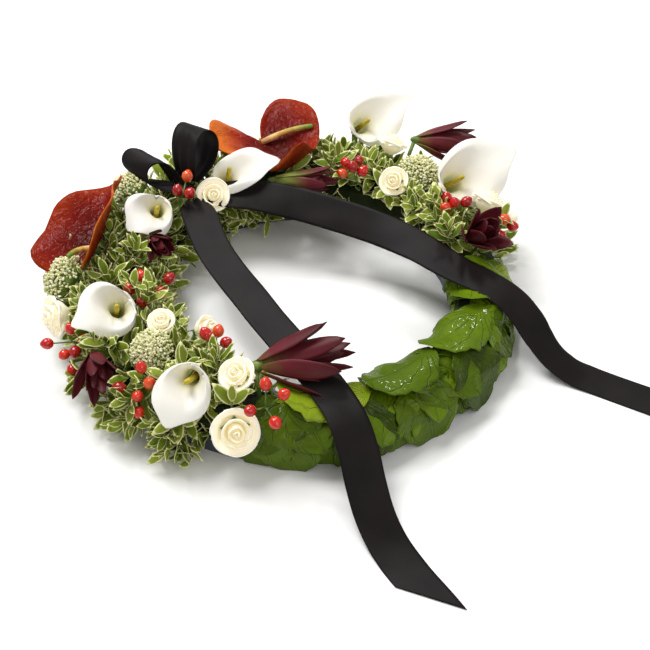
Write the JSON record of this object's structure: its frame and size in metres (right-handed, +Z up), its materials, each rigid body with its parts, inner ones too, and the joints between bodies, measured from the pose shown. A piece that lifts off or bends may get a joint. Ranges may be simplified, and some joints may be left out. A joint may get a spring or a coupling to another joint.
{
  "type": "memorial wreath",
  "caption": "Round floral ring that lies flat: fresh flowers, berries and leaves in a foam ring on a plastic tray, with a dark satin bow and two long tails across it.",
  "frame": {"origin": "middle of the whole wreath's box, ribbon tails included, at the surface it lies on", "axes": "+Z up from the table, -Y towards the front of the ring where the front ribbon tail leaves, +X towards the side where the long ribbon tail ends"},
  "size_m": [0.6976, 0.6832, 0.1502],
  "materials": {
    "tray": "slate-blue moulded plastic, satin",
    "foam": "dark green floral foam, crumbly and matt",
    "green_leaf": "fresh glossy leaf with pale veins",
    "pittosporum": "grey-green leaves with cream margins",
    "anthurium": "waxy blistered dark red spathe with an orange edge",
    "calla": "smooth cream-white spathe, yellow-green in its throat",
    "rose": "soft cream petals, greenish at the heart",
    "leucadendron": "leathery burgundy bracts, olive at their base",
    "berry": "glossy red berries on green sepals",
    "bud_head": "head of small cream-green buds, matt",
    "ribbon": "near-black satin with a warm sheen",
    "wire": "green-stained wooden florist pick, matt"
  },
  "bodies": {
    "root": {"tray_ring": "tray", "ribbon_tail_front": "ribbon", "ribbon_tail_long": "ribbon", "bow_loop_left": "ribbon", "bow_loop_upright": "ribbon", "bow_knot": "ribbon", "bow_pick": "wire", "anthurium_left": "anthurium", "anthurium_back": "anthurium", "calla_front": "calla", "calla_left": "calla", "calla_middle": "calla", "calla_bow": "calla", "calla_back": "calla", "calla_right": "calla", "rose_front_low": "rose", "rose_front_high": "rose", "rose_inner": "rose", "rose_small": "rose", "rose_far_left": "rose", "rose_bow": "rose", "rose_back_high": "rose", "rose_back_low": "rose", "rose_right": "rose", "rose_far_right": "rose", "leucadendron_front": "leucadendron", "leucadendron_left": "leucadendron", "leucadendron_middle": "leucadendron", "leucadendron_back": "leucadendron", "leucadendron_high": "leucadendron", "leucadendron_right": "leucadendron", "hypericum_left": "berry", "hypericum_low": "berry", "hypericum_middle": "berry", "hypericum_inner": "berry", "hypericum_front": "berry", "hypericum_bow": "berry", "hypericum_back": "berry", "hypericum_right": "berry", "bud_head_front": "bud_head", "bud_head_left": "bud_head", "bud_head_middle": "bud_head", "bud_head_back": "bud_head", "bud_head_right": "bud_head", "pittosporum_left": "pittosporum", "pittosporum_low": "pittosporum", "pittosporum_front": "pittosporum", "pittosporum_middle": "pittosporum", "pittosporum_right": "pittosporum", "green_leaf_01": "green_leaf", "green_leaf_02": "green_leaf", "green_leaf_03": "green_leaf", "green_leaf_04": "green_leaf", "green_leaf_05": "green_leaf", "green_leaf_06": "green_leaf", "green_leaf_07": "green_leaf", "green_leaf_08": "green_leaf", "green_leaf_09": "green_leaf", "green_leaf_10": "green_leaf", "foam_ring": "foam"}
  },
  "joints": []
}
